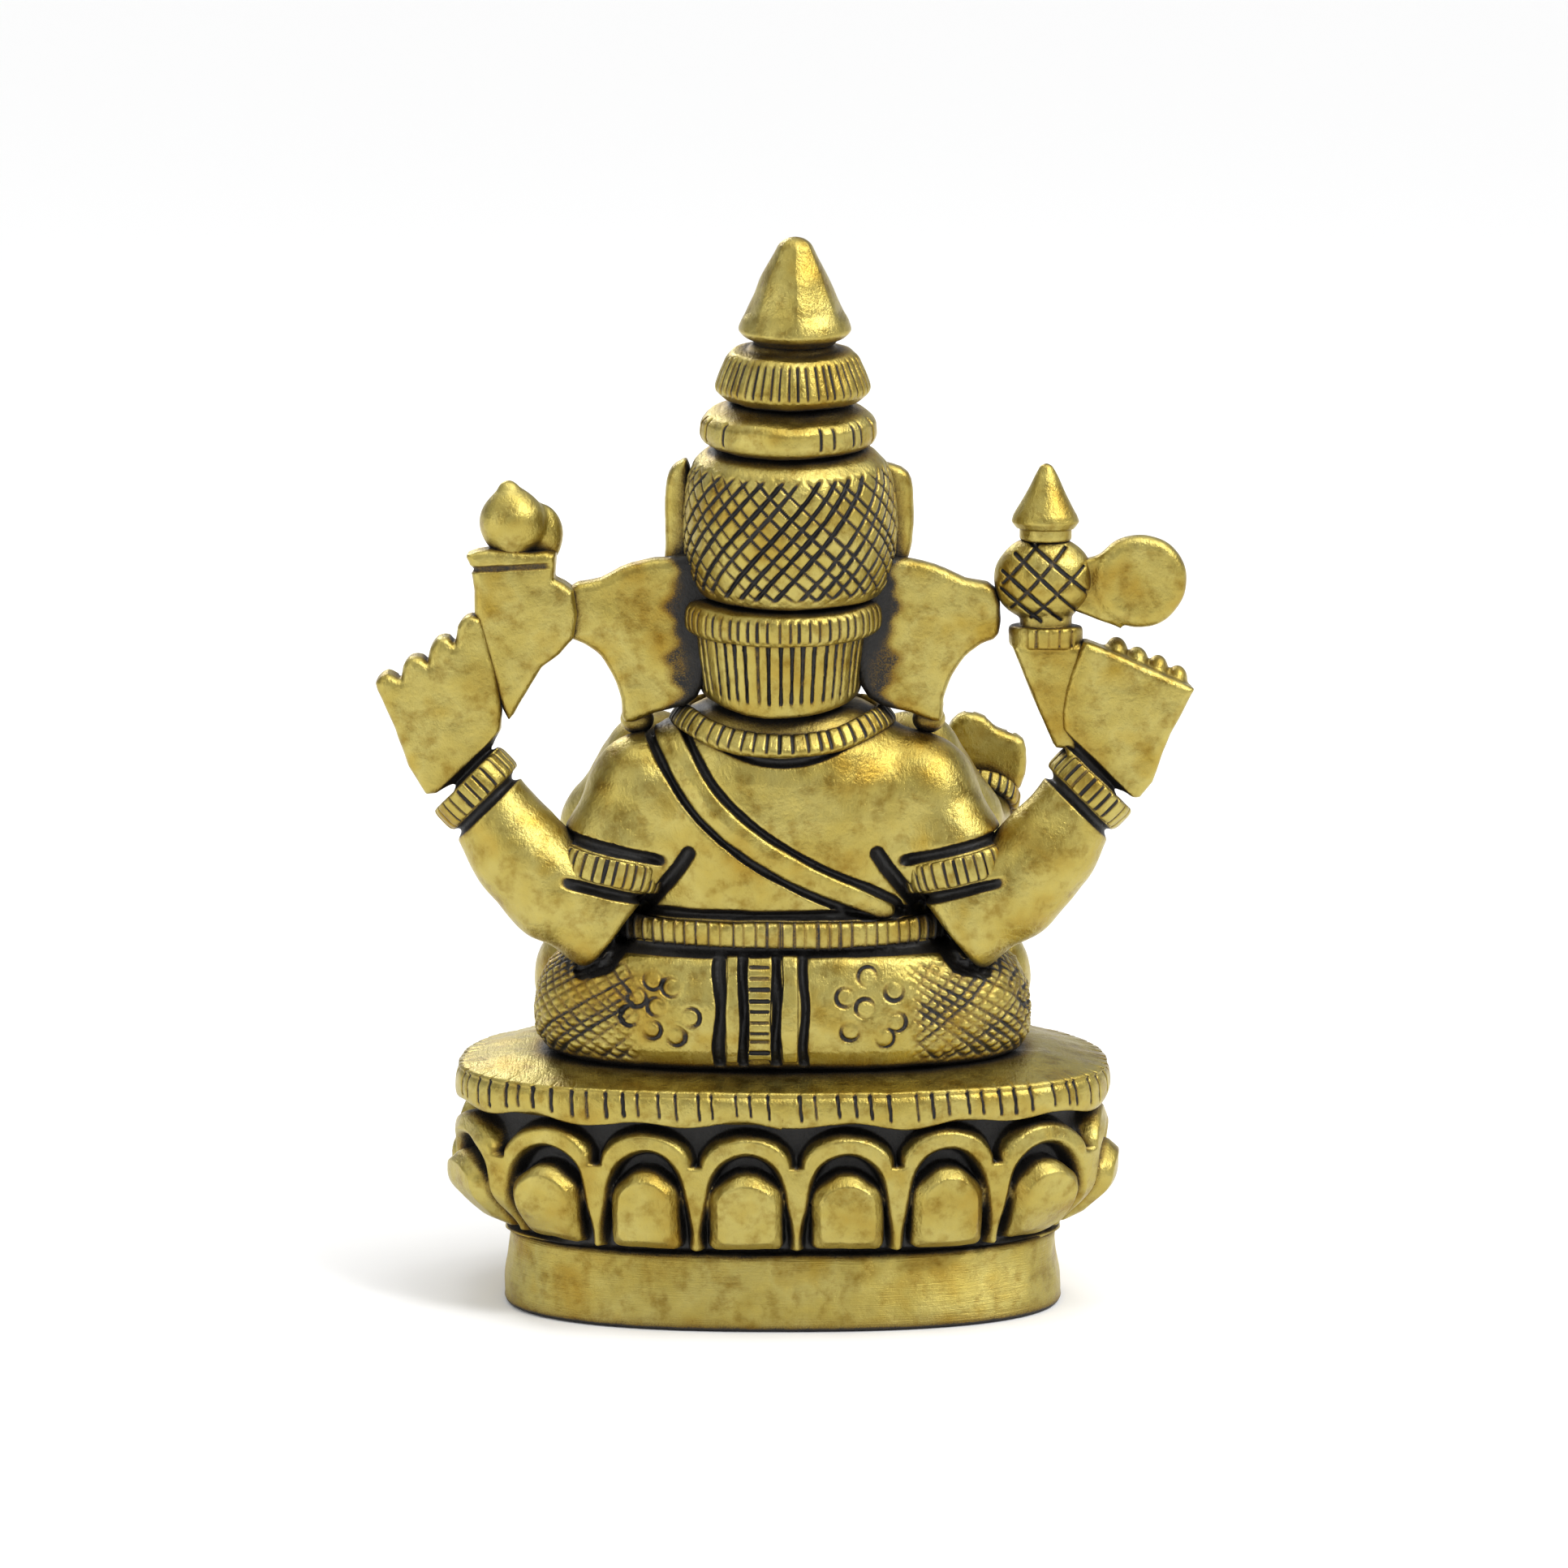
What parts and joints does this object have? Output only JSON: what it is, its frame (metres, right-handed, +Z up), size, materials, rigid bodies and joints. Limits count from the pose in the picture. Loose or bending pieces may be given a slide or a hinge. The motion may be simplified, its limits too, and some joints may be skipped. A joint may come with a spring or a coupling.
{
  "type": "seated deity figurine",
  "caption": "Small seated four-armed, elephant-headed brass figure on an oval lotus pedestal, with crown, held attributes, belt and a flat foot to stand on.",
  "frame": {"origin": "middle of the flat underside of the pedestal, where the figurine stands", "axes": "+Z up to the tip of the crown, -Y the way the figure faces, +X to the figure's own left"},
  "size_m": [0.067, 0.0325, 0.089],
  "materials": {
    "brass": "worn cast brass, rubbed bright on the high parts, near-black patina in the recesses, brushed foot"
  },
  "bodies": {
    "root": {"axe_blade": "brass", "axe_finial": "brass", "axe_staff": "brass", "crown_band": "brass", "crown_crest": "brass", "crown_dome": "brass", "crown_finial": "brass", "crown_lower_ring": "brass", "crown_upper_ring": "brass", "dhoti_pleat": "brass", "front_fold": "brass", "head": "brass", "hips": "brass", "left_anklet": "brass", "left_armlet": "brass", "left_crown_wing": "brass", "left_ear": "brass", "left_ear_ring": "brass", "left_foot": "brass", "left_front_arm": "brass", "left_front_bangle": "brass", "left_front_hand": "brass", "left_leg": "brass", "left_rear_bangle": "brass", "left_rear_forearm": "brass", "left_rear_hand": "brass", "left_rear_upper_arm": "brass", "left_tusk": "brass", "lotus_arches": "brass", "lotus_bosses": "brass", "lotus_bud": "brass", "lotus_core": "brass", "lotus_cup": "brass", "nape_locks": "brass", "necklace": "brass", "pedestal_foot": "brass", "pendant": "brass", "right_anklet": "brass", "right_armlet": "brass", "right_crown_wing": "brass", "right_ear": "brass", "right_ear_ring": "brass", "right_foot": "brass", "right_front_arm": "brass", "right_front_bangle": "brass", "right_front_hand": "brass", "right_leg": "brass", "right_rear_bangle": "brass", "right_rear_forearm": "brass", "right_rear_hand": "brass", "right_rear_upper_arm": "brass", "right_tusk": "brass", "sash": "brass", "seat_plate": "brass", "sweet_bowl": "brass", "sweets": "brass", "torso": "brass", "trunk": "brass", "waist_belt": "brass"}
  },
  "joints": []
}
